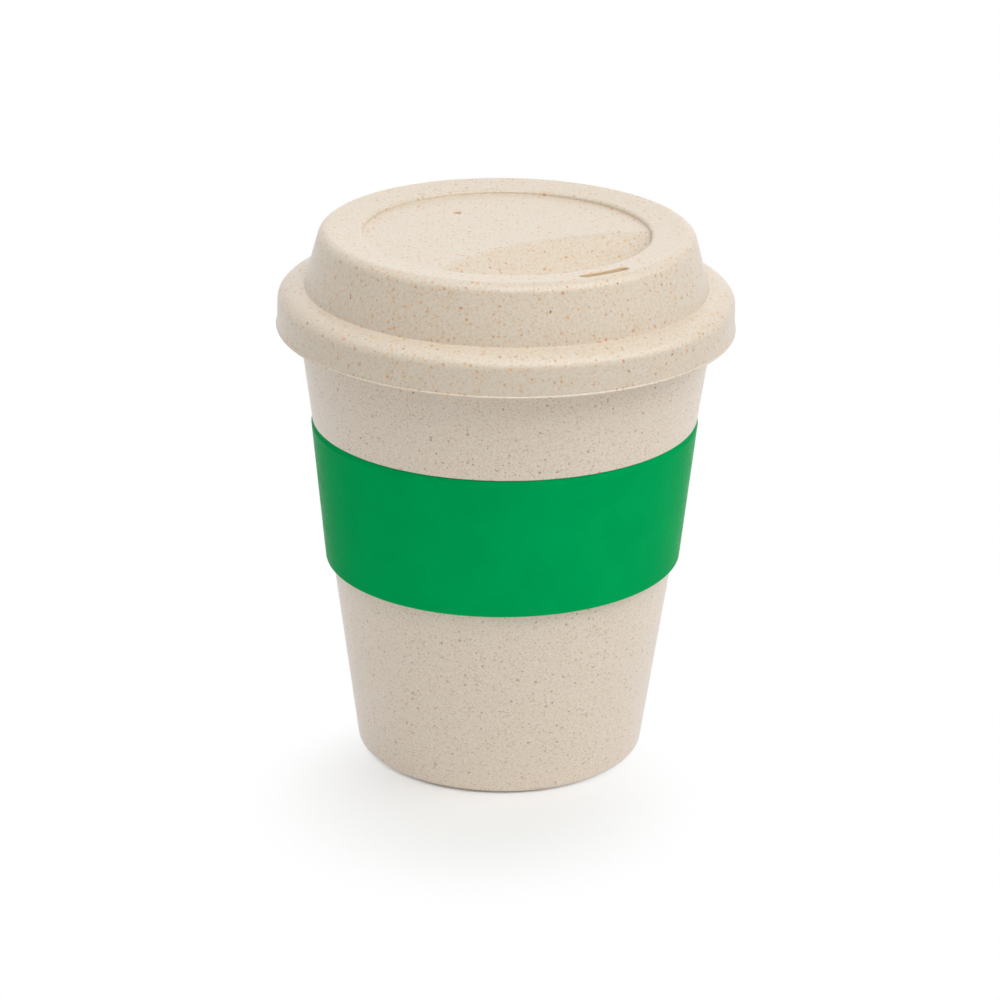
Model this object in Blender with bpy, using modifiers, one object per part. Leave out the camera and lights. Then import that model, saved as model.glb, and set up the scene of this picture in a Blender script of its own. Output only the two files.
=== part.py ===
"""Travel mug: a tapered cup, a silicone grip band, a push-on sip lid and the lid's seal ring.

Metres, +Z up. The origin is the centre of the base, on the table, and the front of the mug faces -Y.
"""

import math

import bmesh
import bpy
from mathutils import Matrix, Vector

# Cup: one tapered shell, open at the top, with a foot ring below and a bead round the mouth
CUP_HEIGHT = 0.0989
BASE_RADIUS = 0.0302
MOUTH_RADIUS = 0.0436
CUP_WALL = 0.0024
FLOOR_THICKNESS = 0.0030
FLOOR_FILLET = 0.0060
BASE_EDGE = 0.0018
FOOT_WIDTH = 0.0040
FOOT_DEPTH = 0.0012
RIM_BEAD = 0.0015
RIM_BEAD_HEIGHT = 0.0028
RIM_EDGE = 0.0013

# Grip band: a sleeve with a bevelled top edge, in a shallow seat of the cup whose ledge stops it upwards
BAND_BOTTOM = 0.0430
BAND_HEIGHT = 0.0305
BAND_TOP_WALL = 0.0008
BAND_BOTTOM_WALL = 0.0011
BAND_EDGE = 0.0002
BAND_BEVEL_WIDTH = 0.0004
BAND_BEVEL_HEIGHT = 0.0010
BAND_SEAT_DEPTH = 0.0009

# Lid: skirted flange, dome, land with the sip slot, and a recess with a deeper well on the slot's side
LID_TURN = math.radians(34)
LID_WALL = 0.0022
SKIRT_WALL = 0.0021
SKIRT_DROP = 0.0055
SKIRT_EDGE = 0.0005
FLANGE_THICKNESS = 0.0028
FLANGE_EDGE = 0.0027
LEDGE_WIDTH = 0.0058
DOME_HEIGHT = 0.0120
DOME_BATTER = 0.0033
DOME_FOOT_FILLET = 0.0008
DOME_EDGE = 0.0024
LAND_WIDTH = 0.0087
LAND_FALL = 0.0008
RECESS_DEPTH = 0.0009
RECESS_DRAFT = math.radians(5)
RECESS_WALL = 0.0016
WELL_WALL = 0.0019
WELL_START = 0.0065
WELL_CREASE_RADIUS = 0.055
WELL_SLOPE = math.radians(33)
WELL_DEPTH = 0.0056
SLOT_INSET = 0.0049
SLOT_WIDTH = 0.0021
SLOT_LENGTH = 0.0116
VENT_DIAMETER = 0.0019
VENT_DISTANCE = 0.0188

# Plug under the lid, with the groove that holds the seal ring
PLUG_DEPTH = 0.0087
PLUG_CLEARANCE = 0.0015
PLUG_WALL = 0.0023
PLUG_EDGE = 0.0007
GROOVE_RISE = 0.0022
GROOVE_HEIGHT = 0.0030
GROOVE_DEPTH = 0.0010
LIP_HEIGHT = 0.0007
LIP_TIP = 0.0003
LIP_SPACING = 0.0013

# Clearance between pieces that touch, and how finely round shapes are divided
FIT_GAP = 0.0003
SEGMENTS = 64
VENT_SEGMENTS = 20
SLOT_ARC_STEPS = 12
SLOT_END_STEPS = 8
ARC_TOLERANCE = 0.00005
MERGE = 0.00001

# Colours as 8-bit screen values, and how rough each surface is
CUP_COLOUR = (212, 201, 191)
LID_COLOUR = (229, 220, 208)
BAND_COLOUR = (0, 152, 80)
SEAL_COLOUR = (222, 222, 214)
MOULDED_ROUGHNESS = 0.6
SILICONE_ROUGHNESS = 0.38

# Heights above the table
BAND_TOP = BAND_BOTTOM + BAND_HEIGHT
FLANGE_SEAT = CUP_HEIGHT + FIT_GAP
FLANGE_TOP = FLANGE_SEAT + FLANGE_THICKNESS
LID_TOP = FLANGE_TOP + DOME_HEIGHT
RECESS_RIM = LID_TOP - LAND_FALL
RECESS_FLOOR = RECESS_RIM - RECESS_DEPTH
SKIRT_BOTTOM = CUP_HEIGHT - SKIRT_DROP
PLUG_BOTTOM = CUP_HEIGHT - PLUG_DEPTH
GROOVE_BOTTOM = PLUG_BOTTOM + GROOVE_RISE
GROOVE_TOP = GROOVE_BOTTOM + GROOVE_HEIGHT

# Radii of the lid, from the cup's rim inwards
RIM_RADIUS = MOUTH_RADIUS + RIM_BEAD
SKIRT_RADIUS = RIM_RADIUS + FIT_GAP
FLANGE_RADIUS = SKIRT_RADIUS + SKIRT_WALL
DOME_FOOT_RADIUS = FLANGE_RADIUS - LEDGE_WIDTH
DOME_TOP_RADIUS = DOME_FOOT_RADIUS - DOME_BATTER
RECESS_RADIUS = DOME_TOP_RADIUS - LAND_WIDTH
SLOT_RADIUS = RECESS_RADIUS + SLOT_INSET


def cup_outer(height):
    """Outer radius of the cup's cone at a height above the table."""
    return BASE_RADIUS + (MOUTH_RADIUS - BASE_RADIUS) * height / CUP_HEIGHT


def cup_inner(height):
    return cup_outer(height) - CUP_WALL


def plug_outer(height):
    """The plug tapers with the inside of the cup."""
    return cup_inner(height) - PLUG_CLEARANCE


def dome_outer(height):
    return DOME_FOOT_RADIUS - DOME_BATTER * (height - FLANGE_TOP) / DOME_HEIGHT


def clear_scene():
    for obj in list(bpy.data.objects):
        bpy.data.objects.remove(obj, do_unlink=True)


def new_collection(name):
    collection = bpy.data.collections.new(name)
    bpy.context.scene.collection.children.link(collection)
    return collection


def new_object(name, mesh, collection):
    obj = bpy.data.objects.new(name, mesh)
    collection.objects.link(obj)
    return obj


def linear(channel):
    """Screen value from 0 to 255 as linear light."""
    value = channel / 255
    return value / 12.92 if value <= 0.04045 else ((value + 0.055) / 1.055) ** 2.4


def paint(obj, colour, roughness):
    """Gives a piece its own Principled material."""
    material = bpy.data.materials.new(obj.name)
    material.use_nodes = True
    shader = material.node_tree.nodes["Principled BSDF"]
    shader.inputs["Base Color"].default_value = (*map(linear, colour), 1)
    shader.inputs["Roughness"].default_value = roughness
    shader.inputs["Metallic"].default_value = 0
    obj.data.materials.append(material)


def rounded_corner(before, corner, after, radius):
    """Points of the arc that rounds a corner. The arc takes at most half of each side."""
    to_before = before - corner
    to_after = after - corner
    half = to_before.angle(to_after) / 2
    reach = min(radius / math.tan(half), to_before.length / 2, to_after.length / 2)
    arc_radius = reach * math.tan(half)
    bisector = (to_before.normalized() + to_after.normalized()).normalized()
    centre = corner + bisector * (arc_radius / math.sin(half))
    start = corner + to_before.normalized() * reach - centre
    end = corner + to_after.normalized() * reach - centre
    turn = -start.angle_signed(end)
    steps = max(2, math.ceil(abs(turn) * math.sqrt(arc_radius / (8 * ARC_TOLERANCE))))
    return [centre + Matrix.Rotation(turn * i / steps, 2) @ start for i in range(steps + 1)]


def outline(corners):
    """Profile points from corners given as (radius, height) or (radius, height, fillet)."""
    points = []
    for i, (radius, height, *fillet) in enumerate(corners):
        here = Vector((radius, height))
        if fillet:
            before = Vector(corners[i - 1][:2])
            after = Vector(corners[(i + 1) % len(corners)][:2])
            points += rounded_corner(before, here, after, fillet[0])
        else:
            points.append(here)
    return points


def turned(name, corners, origin_height, collection):
    """A profile turned about Z, with its origin on the axis. Off the axis it is a closed ring."""
    points = outline(corners)
    edges = [(i, i + 1) for i in range(len(points) - 1)]
    if points[0].x > 0:
        edges.append((len(points) - 1, 0))
    mesh = bpy.data.meshes.new(name)
    mesh.from_pydata([(p.x, 0, p.y - origin_height) for p in points], edges, [])
    obj = new_object(name, mesh, collection)
    obj.location.z = origin_height
    screw = obj.modifiers.new("Turn", "SCREW")
    screw.axis = "Z"
    screw.steps = SEGMENTS
    screw.render_steps = SEGMENTS
    screw.use_merge_vertices = True
    screw.merge_threshold = MERGE
    screw.use_smooth_shade = True
    return obj


def boolean(obj, operation, other):
    modifier = obj.modifiers.new(other.name, "BOOLEAN")
    modifier.operation = operation
    modifier.solver = "EXACT"
    modifier.object = other


def cutter(name, parent, collection, build, *sizes):
    """A hidden helper solid in its parent's frame, made by a function that fills a bmesh."""
    mesh = bpy.data.meshes.new(name)
    shape = bmesh.new()
    build(shape, *sizes)
    bmesh.ops.recalc_face_normals(shape, faces=shape.faces)
    shape.to_mesh(mesh)
    shape.free()
    obj = new_object(name, mesh, collection)
    obj.parent = parent
    obj.hide_render = True
    obj.display_type = "WIRE"
    return obj


def add_cone(shape, low_radius, high_radius, low, high, y=0, segments=SEGMENTS):
    """A cone or cylinder, turned by half a facet so that its edges miss those of the turned pieces."""
    middle = Matrix.Translation((0, y, (low + high) / 2))
    bmesh.ops.create_cone(
        shape,
        cap_ends=True,
        segments=segments,
        radius1=low_radius,
        radius2=high_radius,
        depth=high - low,
        matrix=middle @ Matrix.Rotation(math.pi / segments, 4, "Z"),
    )


def add_bowl(shape, floor, top):
    """A wide flat-bottomed cone beyond the sip side. It crosses the floor along the well's crease."""
    slope = math.tan(WELL_SLOPE)
    low_radius = WELL_CREASE_RADIUS - WELL_DEPTH / slope
    top_radius = WELL_CREASE_RADIUS + (top - floor) / slope
    centre = -(WELL_START + WELL_CREASE_RADIUS)
    add_cone(shape, low_radius, top_radius, floor - WELL_DEPTH, top, centre, 2 * SEGMENTS)


def add_slot(shape, low, high):
    """The curved sip slot with its two round ends, drawn from above and drawn out in height."""
    front = -math.pi / 2
    half_width = SLOT_WIDTH / 2
    half_angle = (SLOT_LENGTH / 2 - half_width) / SLOT_RADIUS
    points = []
    for side in (1, -1):
        for i in range(SLOT_ARC_STEPS + 1):
            angle = front + side * half_angle * (2 * i / SLOT_ARC_STEPS - 1)
            reach = SLOT_RADIUS + side * half_width
            points.append((reach * math.cos(angle), reach * math.sin(angle)))
        end = front + side * half_angle
        start = end if side > 0 else end + math.pi
        for i in range(1, SLOT_END_STEPS):
            angle = start + math.pi * i / SLOT_END_STEPS
            x = SLOT_RADIUS * math.cos(end) + half_width * math.cos(angle)
            y = SLOT_RADIUS * math.sin(end) + half_width * math.sin(angle)
            points.append((x, y))
    face = shape.faces.new([shape.verts.new((x, y, low)) for x, y in points])
    drawn = bmesh.ops.extrude_face_region(shape, geom=[face])["geom"]
    raised = [item for item in drawn if isinstance(item, bmesh.types.BMVert)]
    bmesh.ops.translate(shape, verts=raised, vec=(0, 0, high - low))


def make_cup(collection):
    inner_floor = FOOT_DEPTH + FLOOR_THICKNESS
    bead_bottom = CUP_HEIGHT - RIM_BEAD_HEIGHT
    bead_root = bead_bottom - RIM_BEAD
    ledge = BAND_TOP + FIT_GAP
    foot_inner = BASE_RADIUS - BASE_EDGE - FOOT_WIDTH
    corners = [
        (0, inner_floor),
        (cup_inner(inner_floor), inner_floor, FLOOR_FILLET),
        (cup_inner(CUP_HEIGHT), CUP_HEIGHT, RIM_EDGE),
        (RIM_RADIUS, CUP_HEIGHT, RIM_EDGE),
        (RIM_RADIUS, bead_bottom, RIM_BEAD / 2),
        (cup_outer(bead_root), bead_root, RIM_BEAD / 2),
        (cup_outer(ledge), ledge),
        (cup_outer(ledge) - BAND_SEAT_DEPTH, ledge),
        (cup_outer(BAND_BOTTOM), BAND_BOTTOM),
        (BASE_RADIUS, 0, BASE_EDGE),
        (foot_inner, 0),
        (foot_inner - FOOT_DEPTH, FOOT_DEPTH),
        (0, FOOT_DEPTH),
    ]
    cup = turned("cup_body", corners, 0, collection)
    paint(cup, CUP_COLOUR, MOULDED_ROUGHNESS)
    return cup


def make_band(collection):
    inner_top = cup_outer(BAND_TOP) - BAND_SEAT_DEPTH + FIT_GAP
    inner_bottom = cup_outer(BAND_BOTTOM) + FIT_GAP
    outer_top = inner_top + BAND_TOP_WALL
    corners = [
        (outer_top - BAND_BEVEL_WIDTH, BAND_TOP, BAND_EDGE),
        (outer_top, BAND_TOP - BAND_BEVEL_HEIGHT),
        (inner_bottom + BAND_BOTTOM_WALL, BAND_BOTTOM, BAND_EDGE),
        (inner_bottom, BAND_BOTTOM, BAND_EDGE),
        (inner_top, BAND_TOP, BAND_EDGE),
    ]
    band = turned("grip_band", corners, BAND_BOTTOM, collection)
    paint(band, BAND_COLOUR, SILICONE_ROUGHNESS)
    return band


def make_lid(collection, cutters):
    floor_under = RECESS_FLOOR - LID_WALL
    land_under = RECESS_RIM - LID_WALL
    recess_back = RECESS_RADIUS + RECESS_WALL
    uncut_radius = RECESS_RADIUS - RECESS_WALL
    uncut_top = RECESS_RIM - LAND_FALL * RECESS_WALL / LAND_WIDTH
    corners = [
        (0, uncut_top),
        (uncut_radius, uncut_top),
        (DOME_TOP_RADIUS, LID_TOP, DOME_EDGE),
        (DOME_FOOT_RADIUS, FLANGE_TOP, DOME_FOOT_FILLET),
        (FLANGE_RADIUS, FLANGE_TOP, FLANGE_EDGE),
        (FLANGE_RADIUS, SKIRT_BOTTOM, SKIRT_EDGE),
        (SKIRT_RADIUS, SKIRT_BOTTOM, SKIRT_EDGE),
        (SKIRT_RADIUS, FLANGE_SEAT),
        (plug_outer(FLANGE_SEAT), FLANGE_SEAT),
        (plug_outer(GROOVE_TOP), GROOVE_TOP),
        (plug_outer(GROOVE_TOP) - GROOVE_DEPTH, GROOVE_TOP),
        (plug_outer(GROOVE_BOTTOM) - GROOVE_DEPTH, GROOVE_BOTTOM),
        (plug_outer(GROOVE_BOTTOM), GROOVE_BOTTOM),
        (plug_outer(PLUG_BOTTOM), PLUG_BOTTOM, PLUG_EDGE),
        (plug_outer(PLUG_BOTTOM) - PLUG_WALL, PLUG_BOTTOM, PLUG_EDGE),
        (dome_outer(land_under) - LID_WALL, land_under),
        (recess_back, land_under),
        (recess_back, floor_under),
        (0, floor_under),
    ]
    lid = turned("lid", corners, CUP_HEIGHT, collection)
    cut_lid(lid, cutters)
    lid.rotation_euler.z = LID_TURN
    paint(lid, LID_COLOUR, MOULDED_ROUGHNESS)
    return lid


def cut_lid(lid, cutters):
    """Sinks the recess and its well, with a pan under the well, and cuts the sip slot and the vent."""
    floor = RECESS_FLOOR - CUP_HEIGHT
    rim = RECESS_RIM - CUP_HEIGHT
    low = PLUG_BOTTOM - CUP_HEIGHT
    high = LID_TOP - CUP_HEIGHT + LID_WALL
    pan_radius = RECESS_RADIUS + WELL_WALL
    pan = cutter("well_pan", lid, cutters, add_bowl, floor - LID_WALL, floor - LID_WALL / 2)
    pan_limit = cutter("well_pan_limit", lid, cutters, add_cone, pan_radius, pan_radius, low, high)
    boolean(pan, "INTERSECT", pan_limit)

    low_radius = RECESS_RADIUS - (rim - low) * math.tan(RECESS_DRAFT)
    high_radius = RECESS_RADIUS + (high - rim) * math.tan(RECESS_DRAFT)
    recess = cutter("recess", lid, cutters, add_cone, low_radius, high_radius, low, high)
    slab_sizes = (RIM_RADIUS, RIM_RADIUS, floor, high + LID_WALL)
    above_floor = cutter("above_floor", lid, cutters, add_cone, *slab_sizes)
    well = cutter("well", lid, cutters, add_bowl, floor, rim)
    boolean(above_floor, "UNION", well)
    boolean(recess, "INTERSECT", above_floor)

    slot = cutter("sip_slot", lid, cutters, add_slot, low, high)
    vent_radius = VENT_DIAMETER / 2
    vent_sizes = (vent_radius, vent_radius, low, high, VENT_DISTANCE, VENT_SEGMENTS)
    vent = cutter("vent", lid, cutters, add_cone, *vent_sizes)
    boolean(lid, "UNION", pan)
    for hole in (recess, slot, vent):
        boolean(lid, "DIFFERENCE", hole)


def make_seal_ring(collection):
    """A ring in the plug's groove with two lips that wipe the inside of the cup."""
    low = GROOVE_BOTTOM + FIT_GAP
    high = GROOVE_TOP - FIT_GAP
    middle = (low + high) / 2
    corners = [(plug_outer(high) + FIT_GAP, high)]
    for lip in (middle + LIP_SPACING / 2, middle - LIP_SPACING / 2):
        root_high = lip + LIP_HEIGHT / 2
        root_low = lip - LIP_HEIGHT / 2
        tip_radius = cup_inner(lip) - FIT_GAP
        corners += [
            (plug_outer(root_high) + FIT_GAP, root_high),
            (tip_radius, lip + LIP_TIP / 2),
            (tip_radius, lip - LIP_TIP / 2),
            (plug_outer(root_low) + FIT_GAP, root_low),
        ]
    corners += [
        (plug_outer(low) + FIT_GAP, low),
        (plug_outer(low) - GROOVE_DEPTH + FIT_GAP, low),
        (plug_outer(high) - GROOVE_DEPTH + FIT_GAP, high),
    ]
    ring = turned("lid_seal_ring", corners, middle, collection)
    paint(ring, SEAL_COLOUR, SILICONE_ROUGHNESS)
    return ring


def main():
    clear_scene()
    parts = new_collection("travel_mug")
    cutters = new_collection("cutters")
    cutters.hide_render = True
    mug = new_object("mug", None, parts)
    for piece in (make_cup(parts), make_band(parts), make_lid(parts, cutters), make_seal_ring(parts)):
        piece.parent = mug


main()
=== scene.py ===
"""The looks of a travel mug: fine meshes, speckled and silicone materials, light and view.

Metres, +Z up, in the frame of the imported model: the base stands on z = 0 and the front faces -Y.
"""

import math

import bmesh
import bpy
from mathutils import Color, Matrix, Vector


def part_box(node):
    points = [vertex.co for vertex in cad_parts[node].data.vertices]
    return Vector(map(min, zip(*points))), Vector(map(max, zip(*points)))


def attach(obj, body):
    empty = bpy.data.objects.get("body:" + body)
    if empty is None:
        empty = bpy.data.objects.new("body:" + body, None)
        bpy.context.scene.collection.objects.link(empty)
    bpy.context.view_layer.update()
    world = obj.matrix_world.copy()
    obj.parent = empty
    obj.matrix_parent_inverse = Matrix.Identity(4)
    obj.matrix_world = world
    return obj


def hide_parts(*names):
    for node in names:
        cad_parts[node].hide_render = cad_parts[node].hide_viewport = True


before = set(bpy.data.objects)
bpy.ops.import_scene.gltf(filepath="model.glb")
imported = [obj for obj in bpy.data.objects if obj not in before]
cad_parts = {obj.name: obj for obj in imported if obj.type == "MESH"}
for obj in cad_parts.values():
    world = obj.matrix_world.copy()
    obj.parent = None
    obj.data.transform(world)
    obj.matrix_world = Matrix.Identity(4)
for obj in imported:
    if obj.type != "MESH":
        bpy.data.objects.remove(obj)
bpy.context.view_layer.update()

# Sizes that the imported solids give
CUP_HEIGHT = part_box("cup_body")[1].z
RIM_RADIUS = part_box("cup_body")[1].x
BAND_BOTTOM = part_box("grip_band")[0].z
BAND_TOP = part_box("grip_band")[1].z
FLANGE_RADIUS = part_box("lid")[1].x
PLUG_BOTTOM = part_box("lid")[0].z
RING_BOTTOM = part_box("lid_seal_ring")[0].z
RING_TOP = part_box("lid_seal_ring")[1].z

# Cup
BASE_RADIUS = 0.0302
MOUTH_RADIUS = 0.0436
CUP_WALL = 0.0024
CUP_FLOOR = 0.0042
FLOOR_FILLET = 0.0060
BASE_EDGE = 0.0018
FOOT_RADIUS = 0.0244
FOOT_DEPTH = 0.0012
FOOT_EDGE = 0.0004
RIM_EDGE = 0.0013
BEAD_HEIGHT = 0.0028
BEAD_FILLET = 0.0008
WALL_STEP = 0.005

# Grip band, put on by hand and so not quite level
BAND_SEAT_DEPTH = 0.0009
BAND_GAP = 0.0001
BAND_TOP_WALL = 0.0010
BAND_BOTTOM_WALL = 0.0013
BAND_EDGE = 0.0002
BAND_BEVEL_WIDTH = 0.0004
BAND_BEVEL_HEIGHT = 0.0010
BAND_TOP_TILT = math.radians(0.6)
BAND_BOTTOM_TILT = math.radians(1.0)

# Lid
LID_TURN = math.radians(34)
LID_WALL = 0.0022
SKIRT_WALL = 0.0021
SKIRT_DROP = 0.0055
SKIRT_EDGE = 0.0003
SKIRT_LIP_DEPTH = 0.0002
SKIRT_LIP_HEIGHT = 0.0003
SEAT_GAP = 0.0003
FLANGE_THICKNESS = 0.0028
FLANGE_ROLL_WIDTH = 0.0050
FLANGE_ROLL_DROP = 0.0030
FLANGE_DRAFT = 0.0004
LEDGE_WIDTH = 0.0058
DOME_HEIGHT = 0.0120
DOME_BATTER = 0.0033
DOME_FOOT_FILLET = 0.0002
DOME_EDGE = 0.0024
LAND_WIDTH = 0.0087
LAND_FALL = 0.0008
RECESS_DEPTH = 0.0009
RECESS_DRAFT = math.radians(5)
RECESS_WALL = 0.0016
RECESS_FILLET = 0.0002
RIM_SPREAD = 0.0009
RIM_ROUNDING = 0.0006
WELL_START = 0.0065
WELL_CREASE_RADIUS = 0.055
WELL_SLOPE = math.radians(33)
WELL_DEPTH = 0.0056
WELL_CREASE_ROUNDING = 0.0025
WELL_FOOT_ROUNDING = 0.004
WELL_FILLET = 0.002
SLOT_INSET = 0.0049
SLOT_WIDTH = 0.0025
SLOT_LENGTH = 0.0116
VENT_DIAMETER = 0.0017
VENT_DISTANCE = 0.0188
HOLE_EDGE = 0.0002
INNER_EDGE = 0.0004
HOLLOW_EDGE = 0.0010
PLUG_CLEARANCE = 0.0015
PLUG_WALL = 0.0023
PLUG_EDGE = 0.0007
GROOVE_RISE = 0.0022
GROOVE_HEIGHT = 0.0030
GROOVE_DEPTH = 0.0010

# Seal ring
RING_GAP = 0.0001
LIP_HEIGHT = 0.0007
LIP_TIP = 0.0003
LIP_SPACING = 0.0013

# Rounding of the edges that are all but sharp
FINE_EDGE = 0.00012

# Sizes of the lid that follow from the ones above
FLANGE_SEAT = CUP_HEIGHT + SEAT_GAP
FLANGE_TOP = FLANGE_SEAT + FLANGE_THICKNESS
LID_TOP = FLANGE_TOP + DOME_HEIGHT
RECESS_RIM = LID_TOP - LAND_FALL
RECESS_FLOOR = RECESS_RIM - RECESS_DEPTH
SKIRT_RADIUS = FLANGE_RADIUS - SKIRT_WALL
SKIRT_BOTTOM = CUP_HEIGHT - SKIRT_DROP
GROOVE_BOTTOM = PLUG_BOTTOM + GROOVE_RISE
GROOVE_TOP = GROOVE_BOTTOM + GROOVE_HEIGHT
DOME_FOOT_RADIUS = FLANGE_RADIUS - LEDGE_WIDTH
DOME_TOP_RADIUS = DOME_FOOT_RADIUS - DOME_BATTER
RECESS_RADIUS = DOME_TOP_RADIUS - LAND_WIDTH
SLOT_RADIUS = RECESS_RADIUS + SLOT_INSET
HOLE_DEPTH = 2 * LID_WALL
WELL_AXIS = WELL_START + WELL_CREASE_RADIUS
WELL_FOOT_RADIUS = WELL_CREASE_RADIUS - WELL_DEPTH / math.tan(WELL_SLOPE)

# The angle about Z of the front, and of the lid's sip side before the lid is turned
FRONT = -math.pi / 2

# How finely the meshes are divided
SEGMENTS = 240
CORNER_STEPS = 6
LARGE_CORNER_STEPS = 12
LARGE_CORNER = 0.0010
SHEET_COLUMNS = 40
CREASE_STEPS = 8
LAND_STEPS = 6
SLOT_ARC_STEPS = 20
HOLE_END_STEPS = 14
FLARE_STEPS = 5
FLARE_TURN = math.radians(70)
FLARE_RUN = 0.0004
FOOT_ROUNDS = 4
HALVINGS = 40
MERGE = 0.000001
SMOOTH_ANGLE = math.radians(38)

# The photograph's view, found by fitting the mug's ellipses
VIEW_ELEVATION = math.radians(21.1835)
VIEW_DISTANCE = 0.753196
VIEW_ROLL = math.radians(0.91891)
VIEW_SIDE = -0.000638
VIEW_HEIGHT = 0.054006
LENS_MM = 128.532
SENSOR_MM = 36

# Stage: a floor, the light that comes from all round, and lamps as (name, place, width, watts)
# The floor lights the mug as white. The camera sees plain white away from the mug's foot, and near the
# foot only the real shadow on FLOOR_SHADE, a darker grey that is painted shadow
FLOOR_SIZE = 6.0
FLOOR_DROP = 0.00005
FLOOR_WHITE = 0.97
# Painted shadow: the darker grey that the camera sees on the floor near the mug's foot
FLOOR_SHADE = 0.87
FLOOR_GLOW = 0.1
FLOOR_SHADE_CENTRE = (-0.005, -0.034, 0)
FLOOR_SHADE_REACH = 0.008
FLOOR_WHITE_REACH = 0.05
WORLD_LEVEL = 0.33
LAMP_TARGET = (0, 0, 0.06)
LAMPS = (
    ("key_softbox", (0.45, -0.30, 0.80), 0.6, 2.0),
    ("front_softbox", (0.05, -0.50, 0.88), 0.6, 2.7),
    ("right_softbox", (0.95, -0.10, 0.70), 0.7, 2.6),
    ("top_softbox", (-0.32, 0.0, 0.95), 0.8, 2.1),
    ("back_softbox", (0.0, 1.30, 0.55), 1.2, 0.9),
)

# Colours as 8-bit screen values
SCREEN_WHITE = 255
LID_LIGHT = (213, 202, 187)
LID_DARK = (208, 191, 166)
LID_FLAKE_LIGHT = (216, 160, 84)
LID_FLAKE_DARK = (182, 116, 58)
LID_SPECK = (150, 108, 76)
# Painted light: a lighter, warmer colour for the walls of the slot and the vent, in place of the light
# that bounces in them
LID_PAINTED_HOLE_LIGHT = (240, 214, 178)
CUP_LIGHT = (228, 215, 200)
CUP_DARK = (217, 199, 177)
CUP_FLAKE_LIGHT = (190, 148, 112)
CUP_FLAKE_DARK = (146, 104, 76)
CUP_SPECK = (112, 88, 74)
BAND_COLOUR = (0, 164, 87)
BAND_DARK = (0, 160, 85)
SEAL_COLOUR = (226, 226, 218)
SEAL_DARK = (214, 214, 205)

# Patterns, in millimetres and grains to the millimetre
# Flake layers are (spacing, share, size, softness, strength), and specks have no strength
MILLIMETRES = 1000
LID_GRAIN = 1.8
LID_FLAKES = ((1.1, 0.9, 1.05, 0.7, 0.75), (0.5, 0.95, 0.5, 0.8, 0.75))
LID_SPECKS = (2.2, 0.4, 0.7, 0.5)
CUP_GRAIN = 2.6
CUP_FLAKES = ((0.4, 0.8, 0.4, 0.6, 0.7), (1.2, 0.7, 0.8, 0.6, 0.7))
CUP_SPECKS = (2.4, 0.4, 0.55, 0.5)
RAGGED_GRAIN = 2.5
RAGGED_REACH = 0.5
NOISE_LOW = 0.3
NOISE_HIGH = 0.7
NOISE_MIDDLE = (0.5, 0.5, 0.5)
NOISE_DETAIL = 2

# Finish of the surfaces
MOULDED_GRAIN = 1.5
MOULDED_ROUGHNESS = (0.46, 0.58)
MOULDED_COAT_ROUGHNESS = 0.4
MOULDED_BUMP = (2.2, 0.25, 0.00004)
SILICONE_CLOUDS = 0.12
SILICONE_GRAIN = 0.4
SILICONE_ROUGHNESS = (0.24, 0.34)
SILICONE_BUMP = (1.2, 0.15, 0.00003)
BAND_IOR = 1.04
SEAL_IOR = 1.41

# Walls of the lid's holes are marked for painted light, a lighter and warmer colour in place of the
# light that bounces in them: faces whose normal has an upright share below STEEP
PAINTED_HOLE_LIGHT_MARK = "painted_hole_light"
STEEP = 0.7

# Sockets of the mix node that are for colours
MIX_FACTOR = 0
MIX_FIRST = 6
MIX_SECOND = 7
MIX_RESULT = 2


def cup_outer(height):
    """Outer radius of the cup's cone."""
    return BASE_RADIUS + (MOUTH_RADIUS - BASE_RADIUS) * height / CUP_HEIGHT


def cup_inner(height):
    return cup_outer(height) - CUP_WALL


def plug_outer(height):
    return cup_inner(height) - PLUG_CLEARANCE


def seat_outer(height):
    """Radius of the cup under the band, where it is sunk a little towards the top."""
    sunk = BAND_SEAT_DEPTH * (height - BAND_BOTTOM) / (BAND_TOP - BAND_BOTTOM)
    return cup_outer(height) - max(sunk, 0)


def band_edge(height, tilt, angle):
    """Height of a tilted edge of the band at an angle about Z."""
    return height + cup_outer(height) * math.cos(angle) * math.tan(tilt)


def land_height(x, y):
    """The lid's top slopes down a little towards the recess."""
    return RECESS_RIM + (math.hypot(x, y) - RECESS_RADIUS) * LAND_FALL / LAND_WIDTH


def well_drop(axis_distance):
    """How far the recess's floor sinks: a rounded crease, a slope, a rounded foot and a flat bottom."""
    crease_reach = WELL_CREASE_ROUNDING * math.tan(WELL_SLOPE / 2)
    foot_reach = WELL_FOOT_ROUNDING * math.tan(WELL_SLOPE / 2)
    beyond_crease = WELL_CREASE_RADIUS + crease_reach - axis_distance
    before_foot = axis_distance - WELL_FOOT_RADIUS + foot_reach
    if beyond_crease <= 0:
        return 0
    if beyond_crease < WELL_CREASE_ROUNDING * math.sin(WELL_SLOPE):
        return WELL_CREASE_ROUNDING - math.sqrt(WELL_CREASE_ROUNDING ** 2 - beyond_crease ** 2)
    if before_foot <= 0:
        return WELL_DEPTH
    if before_foot < WELL_FOOT_ROUNDING * math.sin(WELL_SLOPE):
        return WELL_DEPTH - WELL_FOOT_ROUNDING + math.sqrt(WELL_FOOT_ROUNDING ** 2 - before_foot ** 2)
    return (WELL_CREASE_RADIUS - axis_distance) * math.tan(WELL_SLOPE)


def wall_foot(angle):
    """Where the recess's wall meets the fillet of its floor, and the fillet's radius."""
    radius = RECESS_RADIUS
    for _ in range(FOOT_ROUNDS):
        x, y = polar(radius, angle)
        drop = well_drop(math.hypot(x, y + WELL_AXIS))
        fillet = RECESS_FILLET + WELL_FILLET * drop / WELL_DEPTH
        height = RECESS_FLOOR - drop + fillet
        radius = RECESS_RADIUS - (RECESS_RIM - height) * math.tan(RECESS_DRAFT)
    return Vector((radius, height)), fillet


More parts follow.
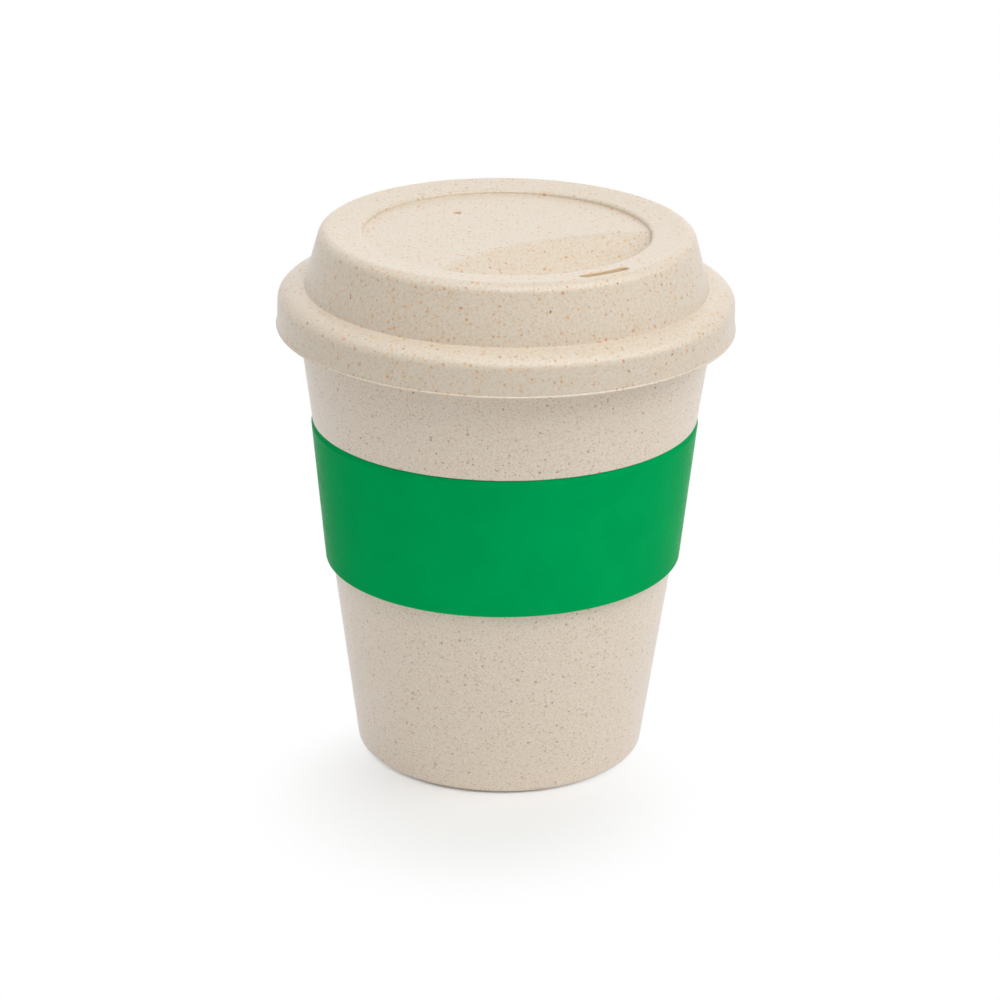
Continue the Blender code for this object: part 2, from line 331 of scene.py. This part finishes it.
def recess_height(x, y):
    """Height of the recess's floor, with the fillet along its wall. The sip side is at -Y."""
    foot, fillet = wall_foot(math.atan2(y, x))
    into_fillet = fillet - max(foot.x - math.hypot(x, y), 0)
    rise = fillet - math.sqrt(fillet ** 2 - max(into_fillet, 0) ** 2)
    return RECESS_FLOOR - well_drop(math.hypot(x, y + WELL_AXIS)) + rise


def pan_height(x, y):
    """Height of the recess's underside."""
    return RECESS_FLOOR - LID_WALL - well_drop(math.hypot(x, y + WELL_AXIS))


def polar(radius, angle):
    """The plan point at a radius and an angle about Z."""
    return Vector((radius * math.cos(angle), radius * math.sin(angle)))


def round_corner(before, corner, after, radius, steps):
    """Points of the arc that rounds a corner. The arc takes at most half of each side."""
    to_before = before - corner
    to_after = after - corner
    half = to_before.angle(to_after) / 2
    reach = min(radius / math.tan(half), to_before.length / 2, to_after.length / 2)
    arc_radius = reach * math.tan(half)
    bisector = (to_before.normalized() + to_after.normalized()).normalized()
    centre = corner + bisector * (arc_radius / math.sin(half))
    start = corner + to_before.normalized() * reach - centre
    end = corner + to_after.normalized() * reach - centre
    turn = -start.angle_signed(end)
    return [centre + Matrix.Rotation(turn * i / steps, 2) @ start for i in range(steps + 1)]


def oval_corner(before, corner, after, reach_before, reach_after):
    """Points of a quarter of an ellipse that rounds a corner over two reaches."""
    back = (before - corner).normalized() * reach_before
    on = (after - corner).normalized() * reach_after
    turns = [math.pi / 2 * i / LARGE_CORNER_STEPS for i in range(LARGE_CORNER_STEPS + 1)]
    return [corner + back * (1 - math.sin(turn)) + on * (1 - math.cos(turn)) for turn in turns]


def outline(corners):
    """Profile points from corners: a radius, a height, and a rounding or the reaches of an oval one."""
    points = []
    for i, (radius, height, *rounding) in enumerate(corners):
        here = Vector((radius, height))
        before = Vector(corners[i - 1][:2])
        after = Vector(corners[(i + 1) % len(corners)][:2])
        if len(rounding) == 2:
            points += oval_corner(before, here, after, *rounding)
        elif rounding:
            steps = LARGE_CORNER_STEPS if rounding[0] >= LARGE_CORNER else CORNER_STEPS
            points += round_corner(before, here, after, rounding[0], steps)
        else:
            points.append(here)
    return points


def between(start, end, steps):
    """Points on a straight line between two ends, without the ends."""
    return [start.lerp(end, i / steps) for i in range(1, steps)]


def new_object(name, mesh):
    obj = bpy.data.objects.new(name, mesh)
    bpy.context.scene.collection.objects.link(obj)
    return obj


def solid(name, points, faces):
    """A closed mesh from points and faces, with its faces turned outwards."""
    mesh = bpy.data.meshes.new(name)
    mesh.from_pydata(points, [], faces)
    shape = bmesh.new()
    shape.from_mesh(mesh)
    bmesh.ops.remove_doubles(shape, verts=shape.verts, dist=MERGE)
    bmesh.ops.recalc_face_normals(shape, faces=shape.faces)
    shape.to_mesh(mesh)
    shape.free()
    return new_object(name, mesh)


def revolved(profile_at, angles, closed):
    """Points and faces of profiles of (radius, height) points set at angles about Z."""
    points = []
    for angle in angles:
        points += [(*polar(radius, angle), height) for radius, height in profile_at(angle)]
    count = len(points) // len(angles)
    faces = []
    for i in range(len(angles)):
        here = i * count
        there = (i + 1) % len(angles) * count
        for j in range(count if closed else count - 1):
            k = (j + 1) % count
            faces.append((here + j, there + j, there + k, here + k))
    return points, faces


def turned(name, profile_at, closed):
    """A piece turned about Z from a profile that may change with the angle."""
    angles = [2 * math.pi * i / SEGMENTS for i in range(SEGMENTS)]
    return solid(name, *revolved(profile_at, angles, closed))


def shade(obj):
    """Smooth shading that keeps flat faces flat beside their rounded edges."""
    obj.data.shade_smooth()
    obj.data.set_sharp_from_angle(angle=SMOOTH_ANGLE)
    weighted = obj.modifiers.new("Weighted normals", "WEIGHTED_NORMAL")
    weighted.keep_sharp = True


def cup_profile(angle):
    bead_bottom = CUP_HEIGHT - BEAD_HEIGHT
    bead_root = bead_bottom - (RIM_RADIUS - MOUTH_RADIUS)
    ledge = band_edge(BAND_TOP, BAND_TOP_TILT, angle) + BAND_GAP
    upper = outline([
        (0, CUP_FLOOR),
        (cup_inner(CUP_FLOOR), CUP_FLOOR, FLOOR_FILLET),
        (cup_inner(CUP_HEIGHT), CUP_HEIGHT, RIM_EDGE),
        (RIM_RADIUS, CUP_HEIGHT, RIM_EDGE),
        (RIM_RADIUS, bead_bottom, BEAD_FILLET),
        (cup_outer(bead_root), bead_root, BEAD_FILLET),
        (cup_outer(ledge), ledge, FINE_EDGE),
        (seat_outer(ledge), ledge, FINE_EDGE),
        (cup_outer(BAND_BOTTOM), BAND_BOTTOM),
    ])
    lower = outline([
        (cup_outer(BAND_BOTTOM), BAND_BOTTOM),
        (BASE_RADIUS, 0, BASE_EDGE),
        (FOOT_RADIUS, 0, FOOT_EDGE),
        (FOOT_RADIUS - FOOT_DEPTH, FOOT_DEPTH, FOOT_EDGE),
        (0, FOOT_DEPTH),
    ])
    return upper + between(lower[0], lower[1], round(BAND_BOTTOM / WALL_STEP)) + lower[1:]


def band_profile(angle):
    top = band_edge(BAND_TOP, BAND_TOP_TILT, angle)
    bottom = band_edge(BAND_BOTTOM, BAND_BOTTOM_TILT, angle)
    inner_top = seat_outer(top) + BAND_GAP
    inner_bottom = seat_outer(bottom) + BAND_GAP
    outer_top = inner_top + BAND_TOP_WALL
    return outline([
        (outer_top - BAND_BEVEL_WIDTH, top, BAND_EDGE),
        (outer_top, top - BAND_BEVEL_HEIGHT, BAND_EDGE),
        (inner_bottom + BAND_BOTTOM_WALL, bottom, BAND_EDGE),
        (inner_bottom, bottom, BAND_EDGE),
        (inner_top, top, BAND_EDGE),
    ])


def seal_profile(angle):
    """A ring in the plug's groove with two lips that wipe the inside of the cup."""
    middle = (RING_BOTTOM + RING_TOP) / 2
    corners = [(plug_outer(RING_TOP) + RING_GAP, RING_TOP, FINE_EDGE)]
    for lip in (middle + LIP_SPACING / 2, middle - LIP_SPACING / 2):
        root_high = lip + LIP_HEIGHT / 2
        root_low = lip - LIP_HEIGHT / 2
        tip_radius = cup_inner(lip) - RING_GAP
        corners += [
            (plug_outer(root_high) + RING_GAP, root_high, FINE_EDGE),
            (tip_radius, lip + LIP_TIP / 2, FINE_EDGE),
            (tip_radius, lip - LIP_TIP / 2, FINE_EDGE),
            (plug_outer(root_low) + RING_GAP, root_low, FINE_EDGE),
        ]
    corners += [
        (plug_outer(RING_BOTTOM) + RING_GAP, RING_BOTTOM, FINE_EDGE),
        (plug_outer(RING_BOTTOM) - GROOVE_DEPTH + RING_GAP, RING_BOTTOM, FINE_EDGE),
        (plug_outer(RING_TOP) - GROOVE_DEPTH + RING_GAP, RING_TOP, FINE_EDGE),
    ]
    return outline(corners)


def lid_shell():
    """The part of the lid's profile that is the same all round, from the dome's edge to its inside."""
    under = RECESS_RIM - LID_WALL
    inside = DOME_FOOT_RADIUS - DOME_BATTER * (under - FLANGE_TOP) / DOME_HEIGHT - LID_WALL
    points = outline([
        (RECESS_RADIUS, RECESS_RIM),
        (DOME_TOP_RADIUS, LID_TOP, DOME_EDGE),
        (DOME_FOOT_RADIUS, FLANGE_TOP, DOME_FOOT_FILLET),
        (FLANGE_RADIUS - FLANGE_DRAFT, FLANGE_TOP, FLANGE_ROLL_WIDTH, FLANGE_ROLL_DROP),
        (FLANGE_RADIUS - SKIRT_LIP_DEPTH, SKIRT_BOTTOM + SKIRT_LIP_HEIGHT + SKIRT_LIP_DEPTH),
        (FLANGE_RADIUS, SKIRT_BOTTOM + SKIRT_LIP_HEIGHT),
        (FLANGE_RADIUS, SKIRT_BOTTOM, SKIRT_EDGE),
        (SKIRT_RADIUS, SKIRT_BOTTOM, SKIRT_EDGE),
        (SKIRT_RADIUS, FLANGE_SEAT, INNER_EDGE),
        (plug_outer(FLANGE_SEAT), FLANGE_SEAT, INNER_EDGE),
        (plug_outer(GROOVE_TOP), GROOVE_TOP, FINE_EDGE),
        (plug_outer(GROOVE_TOP) - GROOVE_DEPTH, GROOVE_TOP, FINE_EDGE),
        (plug_outer(GROOVE_BOTTOM) - GROOVE_DEPTH, GROOVE_BOTTOM, FINE_EDGE),
        (plug_outer(GROOVE_BOTTOM), GROOVE_BOTTOM, FINE_EDGE),
        (plug_outer(PLUG_BOTTOM), PLUG_BOTTOM, PLUG_EDGE),
        (plug_outer(PLUG_BOTTOM) - PLUG_WALL, PLUG_BOTTOM, PLUG_EDGE),
        (inside, under, HOLLOW_EDGE),
        (RECESS_RADIUS + RECESS_WALL, under),
    ])
    return points[1:-1]


def mouth(foot, land_start):
    """The recess's wall and the rounding by which it runs out into the land."""
    rounding = min(RIM_ROUNDING, land_start.y - foot.y)
    points = []
    for i in range(LARGE_CORNER_STEPS + 1):
        turn = math.pi / 2 * i / LARGE_CORNER_STEPS
        height = land_start.y - rounding * (1 - math.sin(turn))
        wall = RECESS_RADIUS - (RECESS_RIM - height) * math.tan(RECESS_DRAFT)
        points.append(Vector((wall + (land_start.x - wall) * (1 - math.cos(turn)), height)))
    return points


def lid_profile(angle, shell):
    """From the foot of the recess's wall out over the lid and back to the recess's underside."""
    foot, _ = wall_foot(angle)
    land_start = Vector((RECESS_RADIUS + RIM_SPREAD, land_height(RECESS_RADIUS + RIM_SPREAD, 0)))
    land = between(land_start, shell[0], LAND_STEPS)
    back = RECESS_RADIUS + RECESS_WALL
    ledge = Vector((back, shell[-1].y))
    pan = Vector((back, pan_height(*polar(back, angle))))
    pan_inside = Vector((back - LAND_WIDTH, pan_height(*polar(back - LAND_WIDTH, angle))))
    under = round_corner(shell[-1], ledge, pan, INNER_EDGE, CORNER_STEPS)
    under += round_corner(ledge, pan, pan_inside, INNER_EDGE, CORNER_STEPS)
    return [foot] + mouth(foot, land_start) + land + shell + under


def sheet_row(angle):
    """The distance from the well's axis at which the row that ends at an angle of the wall runs."""
    foot, _ = wall_foot(angle)
    x, y = polar(foot.x, angle)
    return math.hypot(x, y + WELL_AXIS)


def row_angle(axis_distance):
    """The angle at which a row at a distance from the well's axis ends, found by halving."""
    low = FRONT
    high = FRONT + math.pi
    for _ in range(HALVINGS):
        middle = (low + high) / 2
        if sheet_row(middle) < axis_distance:
            low = middle
        else:
            high = middle
    return low


def lid_angles():
    """Angles from the sip side to the back: even steps, and rows along the well's crease and foot."""
    special = []
    crease = (WELL_CREASE_RADIUS, WELL_CREASE_ROUNDING)
    foot = (WELL_FOOT_RADIUS, WELL_FOOT_ROUNDING)
    for radius, rounding in (crease, foot):
        reach = rounding * math.tan(WELL_SLOPE / 2)
        rows = [radius + reach * (2 * i / CREASE_STEPS - 1) for i in range(CREASE_STEPS + 1)]
        special += [row_angle(row) for row in rows]
    step = 2 * math.pi / SEGMENTS
    even = [FRONT + step * i for i in range(SEGMENTS // 2 + 1)]
    return sorted(special + [a for a in even if min(abs(a - b) for b in special) > step / 2])


def sheet(angles, edge_at, height_at):
    """A surface inside a closed edge, in rows about the well's axis that end at the given angles."""
    points = []
    for angle in angles:
        edge = edge_at(angle)
        x, y = polar(edge.x, angle)
        row = Vector((x, y + WELL_AXIS))
        swing = math.atan2(row.x, row.y)
        for i in range(SHEET_COLUMNS + 1):
            turn = swing * math.sin(math.pi * (i / SHEET_COLUMNS - 0.5))
            x = row.length * math.sin(turn)
            y = row.length * math.cos(turn) - WELL_AXIS
            inside = 0 < i < SHEET_COLUMNS
            points.append((x, y, height_at(x, y) if inside else edge.y))
    faces = []
    for i in range(len(angles) - 1):
        for j in range(SHEET_COLUMNS):
            here = i * (SHEET_COLUMNS + 1) + j
            there = here + SHEET_COLUMNS + 1
            faces.append((here, here + 1, there + 1, there))
    return points, faces


def joined(*meshes):
    """Points and faces of several meshes as one."""
    points = []
    faces = []
    for more_points, more_faces in meshes:
        faces += [[len(points) + i for i in face] for face in more_faces]
        points += more_points
    return points, faces


def slot_outline(offset):
    """Plan points of the curved sip slot, grown by an offset."""
    half_width = SLOT_WIDTH / 2 + offset
    half_angle = (SLOT_LENGTH - SLOT_WIDTH) / 2 / SLOT_RADIUS
    points = []
    for side in (1, -1):
        for i in range(SLOT_ARC_STEPS + 1):
            angle = FRONT + side * half_angle * (2 * i / SLOT_ARC_STEPS - 1)
            points.append(polar(SLOT_RADIUS + side * half_width, angle))
        end = FRONT + side * half_angle
        start = end if side > 0 else end + math.pi
        for i in range(1, HOLE_END_STEPS):
            turn = start + math.pi * i / HOLE_END_STEPS
            points.append(polar(SLOT_RADIUS, end) + polar(half_width, turn))
    return points


def vent_outline(offset):
    """Plan points of the round vent, grown by an offset."""
    radius = VENT_DIAMETER / 2 + offset
    steps = 2 * HOLE_END_STEPS
    return [Vector((0, VENT_DISTANCE)) + polar(radius, 2 * math.pi * i / steps) for i in range(steps)]


def flared_cutter(name, outline_at, surface_at):
    """A cutter whose mouth flares, so that the hole's edge comes out rounded."""
    levels = [(0, -HOLE_DEPTH)]
    for i in range(FLARE_STEPS + 1):
        turn = FLARE_TURN * i / FLARE_STEPS
        levels.append((HOLE_EDGE * (1 - math.cos(turn)), HOLE_EDGE * (math.sin(turn) - 1)))
    offset, height = levels[-1]
    levels.append((offset + FLARE_RUN * math.sin(FLARE_TURN), height + FLARE_RUN * math.cos(FLARE_TURN)))
    points = []
    for offset, height in levels:
        points += [(x, y, surface_at(x, y) + height) for x, y in outline_at(offset)]
    count = len(points) // len(levels)
    faces = [range(count), range(len(points) - count, len(points))]
    for level in range(len(levels) - 1):
        for i in range(count):
            here = level * count + i
            there = level * count + (i + 1) % count
            faces.append((here, there, there + count, here + count))
    return solid(name, points, faces)


def cut(obj, cutters):
    """Takes the cutters out of a piece, and removes them."""
    for cutter in cutters:
        modifier = obj.modifiers.new(cutter.name, "BOOLEAN")
        modifier.operation = "DIFFERENCE"
        modifier.solver = "EXACT"
        modifier.object = cutter
    evaluated = obj.evaluated_get(bpy.context.evaluated_depsgraph_get())
    mesh = bpy.data.meshes.new_from_object(evaluated)
    obj.modifiers.clear()
    obj.data = mesh
    for cutter in cutters:
        bpy.data.objects.remove(cutter)


def mark_painted_hole_light(mesh):
    """Marks the walls of the sip slot and the vent for painted light: a lighter, warmer colour in place
    of the light that bounces in them.
    """
    painted_hole_light = mesh.attributes.new(PAINTED_HOLE_LIGHT_MARK, "FLOAT", "FACE")
    for face in mesh.polygons:
        x, y, _ = face.center
        across = abs(math.hypot(x, y) - SLOT_RADIUS)
        along = abs(math.atan2(x, -y)) * SLOT_RADIUS
        in_slot = across < SLOT_WIDTH and along < SLOT_LENGTH / 2 + HOLE_EDGE
        in_vent = math.hypot(x, y - VENT_DISTANCE) < VENT_DIAMETER
        painted_hole_light.data[face.index].value = (in_slot or in_vent) and abs(face.normal.z) < STEEP


def make_lid():
    """The lid, modelled with its sip side at -Y and then turned."""
    shell = lid_shell()
    side = lid_angles()
    other_side = [2 * FRONT - angle for angle in reversed(side[1:-1])]
    body = revolved(lambda angle: lid_profile(angle, shell), side + other_side, closed=False)
    floor = sheet(side, lambda angle: wall_foot(angle)[0], recess_height)
    pan = sheet(side, lambda angle: lid_profile(angle, shell)[-1], pan_height)
    lid = solid("lid_shell", *joined(body, floor, pan))
    slot = flared_cutter("slot_cutter", slot_outline, land_height)
    vent = flared_cutter("vent_cutter", vent_outline, recess_height)
    cut(lid, [slot, vent])
    mark_painted_hole_light(lid.data)
    lid.data.transform(Matrix.Rotation(LID_TURN, 4, "Z"))
    return lid


def linear(colour):
    """An 8-bit screen colour as linear light with an alpha of 1."""
    screen = Color([channel / SCREEN_WHITE for channel in colour])
    return (*screen.from_srgb_to_scene_linear(), 1)


def grey(level):
    """A grey of linear light with an alpha of 1."""
    return (level, level, level, 1)


def add_node(tree, kind, inputs=None, **settings):
    """A node with its settings, and its inputs set to values or linked to sockets."""
    node = tree.nodes.new(kind)
    for key, value in settings.items():
        setattr(node, key, value)
    for key, value in (inputs or {}).items():
        if isinstance(value, bpy.types.NodeSocket):
            tree.links.new(value, node.inputs[key])
        else:
            node.inputs[key].default_value = value
    return node


def new_material(name):
    """A material with its node tree and its main shader."""
    material = bpy.data.materials.new(name)
    material.use_nodes = True
    return material, material.node_tree, material.node_tree.nodes["Principled BSDF"]


def coordinates(tree):
    """Places on the piece in millimetres."""
    place = add_node(tree, "ShaderNodeTexCoord").outputs["Object"]
    return vector_node(tree, "SCALE", {0: place, "Scale": MILLIMETRES})["Vector"]


def noise(tree, where, scale):
    """Even noise with a given number of grains to the millimetre."""
    inputs = {"Vector": where, "Scale": scale, "Detail": NOISE_DETAIL}
    return add_node(tree, "ShaderNodeTexNoise", inputs).outputs["Fac"]


def spread(tree, value, low, high, to_low=0.0, to_high=1.0):
    """A value's stretch from low to high, eased into another one."""
    inputs = {"Value": value, "From Min": low, "From Max": high, "To Min": to_low, "To Max": to_high}
    node = add_node(tree, "ShaderNodeMapRange", inputs, interpolation_type="SMOOTHSTEP")
    return node.outputs["Result"]


def mix(tree, factor, first, second):
    """A colour between two colours or colour sockets."""
    inputs = {MIX_FACTOR: factor, MIX_FIRST: first, MIX_SECOND: second}
    return add_node(tree, "ShaderNodeMix", inputs, data_type="RGBA").outputs[MIX_RESULT]


def mix_shader(tree, factor, first, second):
    """A shader between two shaders."""
    return add_node(tree, "ShaderNodeMixShader", {0: factor, 1: first, 2: second}).outputs[0]


def math_node(tree, operation, first, second):
    """The result of an operation on two numbers or sockets."""
    return add_node(tree, "ShaderNodeMath", {0: first, 1: second}, operation=operation).outputs[0]


def vector_node(tree, operation, inputs):
    """The outputs of an operation on vectors."""
    return add_node(tree, "ShaderNodeVectorMath", inputs, operation=operation).outputs


def warped(tree, where, scale, reach):
    """Places shifted by noise, so that what is drawn there comes out ragged."""
    field = add_node(tree, "ShaderNodeTexNoise", {"Vector": where, "Scale": scale}).outputs["Color"]
    shift = vector_node(tree, "SUBTRACT", {0: field, 1: NOISE_MIDDLE})["Vector"]
    return vector_node(tree, "MULTIPLY_ADD", {0: shift, 1: (reach, reach, reach), 2: where})["Vector"]


def flakes(tree, where, spacing, share, size, softness):
    """Scattered flakes, spaced and sized in millimetres: a mask, and a random value for each flake."""
    cells = add_node(tree, "ShaderNodeTexVoronoi", {"Vector": where, "Scale": 1 / spacing})
    parts = add_node(tree, "ShaderNodeSeparateColor", {"Color": cells.outputs["Color"]})
    reach = size / 2 / spacing
    limit = spread(tree, parts.outputs["Red"], 1 - share, 1, 0, reach)
    depth = math_node(tree, "SUBTRACT", limit, cells.outputs["Distance"])
    return spread(tree, depth, 0, softness * reach), parts.outputs["Green"]


def clouded(tree, where, grain, low, high):
    """A value that wanders between two levels."""
    return spread(tree, noise(tree, where, grain), NOISE_LOW, NOISE_HIGH, low, high)


def bumps(tree, where, grain, strength, distance):
    """The normal of a faintly uneven surface."""
    inputs = {"Height": noise(tree, where, grain), "Strength": strength, "Distance": distance}
    return add_node(tree, "ShaderNodeBump", inputs).outputs["Normal"]


def speckled(tree, where, colours, grain, flake_layers, speck_layer):
    """The colour of moulded plant fibre: a mottled ground, ragged flakes, specks, and painted light on
    the walls of the holes.
    """
    light, dark, flake_light, flake_dark, speck, painted_hole_light = map(linear, colours)
    ragged = warped(tree, where, RAGGED_GRAIN, RAGGED_REACH)
    colour = mix(tree, clouded(tree, where, grain, 0, 1), light, dark)
    for *layer, strength in flake_layers:
        mask, random = flakes(tree, ragged, *layer)
        tint = mix(tree, random, flake_light, flake_dark)
        colour = mix(tree, math_node(tree, "MULTIPLY", mask, strength), colour, tint)
    mask, _ = flakes(tree, ragged, *speck_layer)
    colour = mix(tree, mask, colour, speck)
    # Painted light: the marked walls of the holes take a lighter, warmer colour in place of the light
    # that bounces in them
    mark = add_node(tree, "ShaderNodeAttribute", attribute_name=PAINTED_HOLE_LIGHT_MARK).outputs["Fac"]
    return mix(tree, mark, colour, painted_hole_light)


def moulded(name, colours, grain, flake_layers, speck_layer):
    """Matt moulding of plant fibre."""
    material, tree, shader = new_material(name)
    where = coordinates(tree)
    colour = speckled(tree, where, colours, grain, flake_layers, speck_layer)
    roughness = clouded(tree, where, MOULDED_GRAIN, *MOULDED_ROUGHNESS)
    tree.links.new(colour, shader.inputs["Base Color"])
    tree.links.new(roughness, shader.inputs["Roughness"])
    tree.links.new(bumps(tree, where, *MOULDED_BUMP), shader.inputs["Normal"])
    shader.inputs["Coat Weight"].default_value = 1
    shader.inputs["Coat Roughness"].default_value = MOULDED_COAT_ROUGHNESS
    return material


def silicone(name, light, dark, ior):
    """Smooth satin rubber with faint cloudiness."""
    material, tree, shader = new_material(name)
    where = coordinates(tree)
    colour = mix(tree, clouded(tree, where, SILICONE_CLOUDS, 0, 1), linear(light), linear(dark))
    roughness = clouded(tree, where, SILICONE_GRAIN, *SILICONE_ROUGHNESS)
    tree.links.new(colour, shader.inputs["Base Color"])
    tree.links.new(roughness, shader.inputs["Roughness"])
    tree.links.new(bumps(tree, where, *SILICONE_BUMP), shader.inputs["Normal"])
    shader.inputs["IOR"].default_value = ior
    shader.inputs["Specular Tint"].default_value = linear(light)
    return material


def lid_material():
    colours = (LID_LIGHT, LID_DARK, LID_FLAKE_LIGHT, LID_FLAKE_DARK, LID_SPECK, LID_PAINTED_HOLE_LIGHT)
    return moulded("lid_moulding", colours, LID_GRAIN, LID_FLAKES, LID_SPECKS)


def cup_material():
    # The cup has no marked hole walls, so its painted hole light, CUP_DARK, never shows
    colours = (CUP_LIGHT, CUP_DARK, CUP_FLAKE_LIGHT, CUP_FLAKE_DARK, CUP_SPECK, CUP_DARK)
    return moulded("cup_moulding", colours, CUP_GRAIN, CUP_FLAKES, CUP_SPECKS)


def dress(obj, material, body, node):
    """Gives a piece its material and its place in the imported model."""
    obj.data.materials.clear()
    obj.data.materials.append(material)
    shade(obj)
    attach(obj, body)
    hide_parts(node)


def seen_directly(tree):
    """1 for what the camera sees, also in a reflection or through a clear thing, and 0 for lighting."""
    path = add_node(tree, "ShaderNodeLightPath").outputs
    seen = math_node(tree, "MAXIMUM", path["Is Camera Ray"], path["Is Glossy Ray"])
    return math_node(tree, "MAXIMUM", seen, path["Is Transmission Ray"])


def floor_glow(tree, seen):
    """The share of plain white in what the camera sees of the floor: little near the mug's foot."""
    place = add_node(tree, "ShaderNodeNewGeometry").outputs["Position"]
    away = vector_node(tree, "DISTANCE", {0: place, 1: FLOOR_SHADE_CENTRE})["Value"]
    share = spread(tree, away, FLOOR_SHADE_REACH, FLOOR_WHITE_REACH, FLOOR_GLOW, 1)
    return math_node(tree, "MULTIPLY", seen, share)


def floor_material():
    """White that keeps the mug's shadow, with a painted shadow of darker grey near its foot, and can be
    looked through from below.
    """
    material, tree, shader = new_material("floor")
    tree.nodes.remove(shader)
    seen = seen_directly(tree)
    # Painted shadow: the camera sees FLOOR_SHADE, darker than the white that lights the mug
    colour = mix(tree, seen, grey(FLOOR_WHITE), grey(FLOOR_SHADE))
    diffuse = add_node(tree, "ShaderNodeBsdfDiffuse", {"Color": colour}).outputs[0]
    glow = add_node(tree, "ShaderNodeEmission").outputs[0]
    lit = mix_shader(tree, floor_glow(tree, seen), diffuse, glow)
    clear = add_node(tree, "ShaderNodeBsdfTransparent").outputs[0]
    below = add_node(tree, "ShaderNodeNewGeometry").outputs["Backfacing"]
    surface = mix_shader(tree, below, lit, clear)
    tree.links.new(surface, tree.nodes["Material Output"].inputs["Surface"])
    return material


def make_floor():
    mesh = bpy.data.meshes.new("floor")
    shape = bmesh.new()
    bmesh.ops.create_grid(shape, size=FLOOR_SIZE / 2)
    shape.to_mesh(mesh)
    shape.free()
    mesh.materials.append(floor_material())
    floor = new_object("floor", mesh)
    floor.location.z = -FLOOR_DROP


def make_world():
    """Even light from all round, and a white background."""
    world = bpy.data.worlds.new("studio")
    world.use_nodes = True
    tree = world.node_tree
    background = tree.nodes["Background"]
    background.inputs["Color"].default_value = grey(1)
    level = spread(tree, seen_directly(tree), 0, 1, WORLD_LEVEL, 1)
    tree.links.new(level, background.inputs["Strength"])
    bpy.context.scene.world = world


def make_lamps():
    for name, place, width, watts in LAMPS:
        data = bpy.data.lights.new(name, "AREA")
        data.shape = "SQUARE"
        data.size = width
        data.energy = watts
        lamp = new_object(name, data)
        lamp.location = place
        aim = Vector(LAMP_TARGET) - Vector(place)
        lamp.rotation_euler = aim.to_track_quat("-Z", "Y").to_euler()


def make_camera():
    """The photograph's camera: in front of the mug, looking down on it, and rolled a little."""
    forward = Vector((0, math.cos(VIEW_ELEVATION), -math.sin(VIEW_ELEVATION)))
    up = Vector((0, math.sin(VIEW_ELEVATION), math.cos(VIEW_ELEVATION)))
    right = Vector((1, 0, 0))
    rolled_right = right * math.cos(VIEW_ROLL) + up * math.sin(VIEW_ROLL)
    rolled_up = up * math.cos(VIEW_ROLL) - right * math.sin(VIEW_ROLL)
    data = bpy.data.cameras.new("camera")
    data.lens = LENS_MM
    data.sensor_width = SENSOR_MM
    camera = new_object("camera", data)
    place = Vector((VIEW_SIDE, 0, VIEW_HEIGHT)) - forward * VIEW_DISTANCE
    turn = Matrix((rolled_right, rolled_up, -forward)).transposed()
    camera.matrix_world = Matrix.Translation(place) @ turn.to_4x4()
    bpy.context.scene.camera = camera


make_camera()
make_floor()
make_world()
make_lamps()
bpy.context.scene.view_settings.view_transform = "Standard"

cup_shell = turned("cup_shell", cup_profile, closed=False)
dress(cup_shell, cup_material(), "cup", "cup_body")
band_silicone = silicone("band_silicone", BAND_COLOUR, BAND_DARK, BAND_IOR)
band_sleeve = turned("band_sleeve", band_profile, closed=True)
dress(band_sleeve, band_silicone, "band", "grip_band")
dress(make_lid(), lid_material(), "lid", "lid")
seal_silicone = silicone("seal_silicone", SEAL_COLOUR, SEAL_DARK, SEAL_IOR)
seal_lips = turned("seal_lips", seal_profile, closed=True)
dress(seal_lips, seal_silicone, "seal", "lid_seal_ring")
